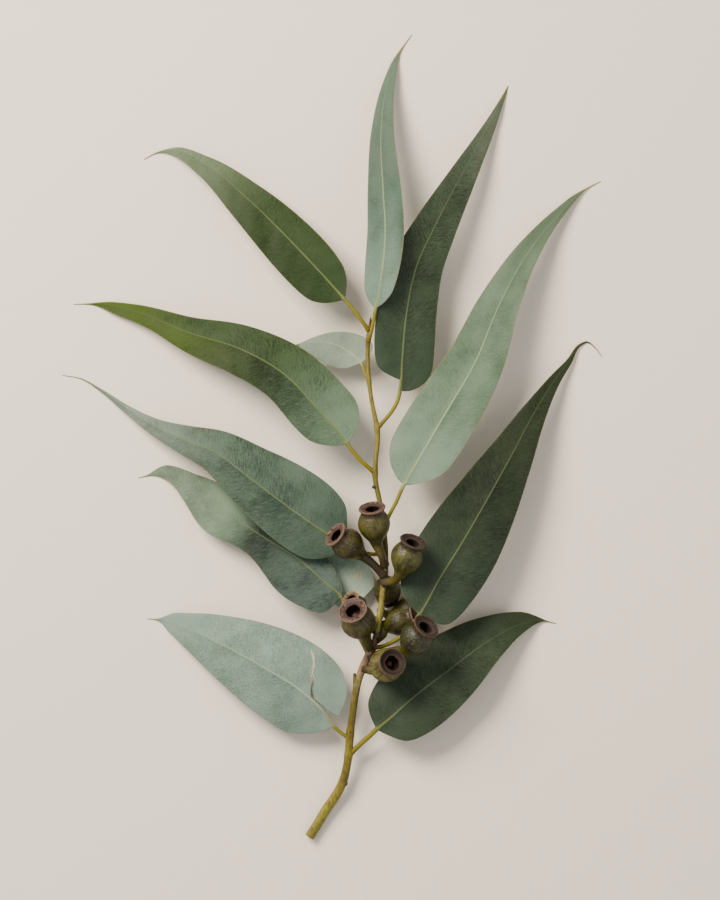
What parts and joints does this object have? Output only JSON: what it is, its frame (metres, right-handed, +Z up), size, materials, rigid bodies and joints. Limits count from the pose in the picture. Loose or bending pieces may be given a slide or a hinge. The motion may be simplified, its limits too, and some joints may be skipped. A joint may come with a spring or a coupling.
{
  "type": "eucalyptus branch",
  "caption": "Cut eucalyptus branch lying down: a woody stem with long curved leaves and urn-shaped gum nuts on short stalks.",
  "frame": {"origin": "centre of the branch's outline in plan, at the surface that it lies on", "axes": "+Y from the cut end of the stem to the highest leaf tip, +Z up off the surface, +X to the right seen from above"},
  "size_m": [0.2712, 0.4044, 0.047],
  "materials": {
    "bark": "smooth young bark, mustard yellow to olive brown",
    "leaf_olive": "waxy olive green leaf with a pale midrib",
    "leaf_pale": "matt grey-green bloom over a leaf, pale midrib",
    "leaf_mid": "blue-green leaf with a thin worn bloom",
    "leaf_dark": "dark green leaf, bloom rubbed off in streaks",
    "gumnut": "olive brown woody fruit with a mauve-brown rim"
  },
  "bodies": {
    "root": {"main_stem": "bark", "leaf_upper_left": "leaf_olive", "leaf_top": "leaf_pale", "leaf_upper_right": "leaf_dark", "leaf_right": "leaf_pale", "leaf_left": "leaf_olive", "leaf_small_behind": "leaf_pale", "leaf_middle_left": "leaf_mid", "leaf_lower_left": "leaf_mid", "leaf_hidden": "leaf_pale", "leaf_bottom_left": "leaf_pale", "leaf_lower_right": "leaf_dark", "leaf_bottom_right": "leaf_dark", "gumnut_left": "gumnut", "gumnut_top": "gumnut", "gumnut_right": "gumnut", "gumnut_behind": "gumnut", "gumnut_floor": "gumnut", "gumnut_under": "gumnut", "gumnut_front_left": "gumnut", "gumnut_front_right": "gumnut", "gumnut_bottom": "gumnut", "gumnut_small": "gumnut"}
  },
  "joints": []
}
